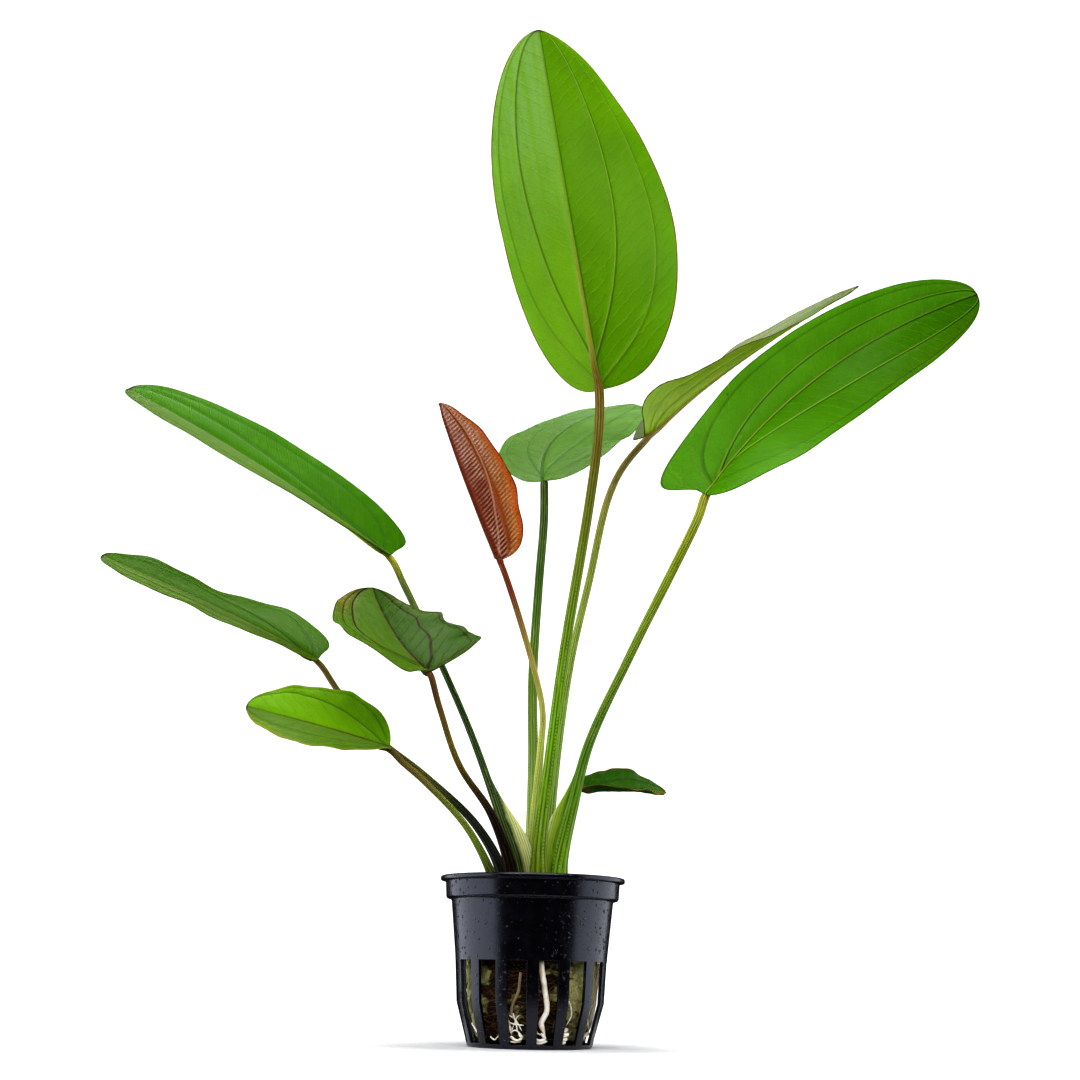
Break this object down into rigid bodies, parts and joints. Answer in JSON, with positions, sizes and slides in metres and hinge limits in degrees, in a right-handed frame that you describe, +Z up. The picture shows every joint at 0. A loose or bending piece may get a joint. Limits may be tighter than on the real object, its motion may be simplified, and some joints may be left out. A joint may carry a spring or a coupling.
{
  "type": "potted echinodorus",
  "caption": "Sword plant with broad upright leaves on long petioles, rooted in a plug of rock wool in a slotted round net pot.",
  "frame": {"origin": "middle of the net pot's base, on the surface that it stands on", "axes": "+Z up along the pot's axis; -Y faces the picture's camera; +X is to the right in the picture"},
  "size_m": [0.2829, 0.1371, 0.3097],
  "materials": {
    "pot_plastic": "satin",
    "rock_wool": "matte",
    "crown": "matte",
    "leaf_bright": "satin",
    "leaf_green": "satin",
    "leaf_dark": "satin",
    "leaf_young": "satin",
    "petiole_green": "satin",
    "petiole_dark": "satin",
    "petiole_young": "satin",
    "root": "satin"
  },
  "bodies": {
    "root": {"net_pot": "pot_plastic", "rock_wool": "rock_wool", "crown": "crown", "leaf_1": "leaf_bright", "leaf_2": "leaf_green", "leaf_3": "leaf_green", "leaf_4": "leaf_green", "leaf_5": "leaf_young", "leaf_6": "leaf_green", "leaf_7": "leaf_dark", "leaf_8": "leaf_bright", "leaf_9": "leaf_dark", "leaf_10": "leaf_dark", "stem_1": "petiole_green", "stem_2": "petiole_green", "stem_3": "petiole_green", "stem_4": "petiole_green", "stem_5": "petiole_young", "stem_6": "petiole_green", "stem_7": "petiole_dark", "stem_8": "petiole_dark", "stem_9": "petiole_dark", "stem_10": "petiole_green", "root_1": "root", "root_2": "root", "root_3": "root", "root_4": "root", "root_5": "root", "root_6": "root", "root_7": "root", "root_8": "root", "root_9": "root", "root_10": "root", "root_11": "root"}
  },
  "joints": []
}
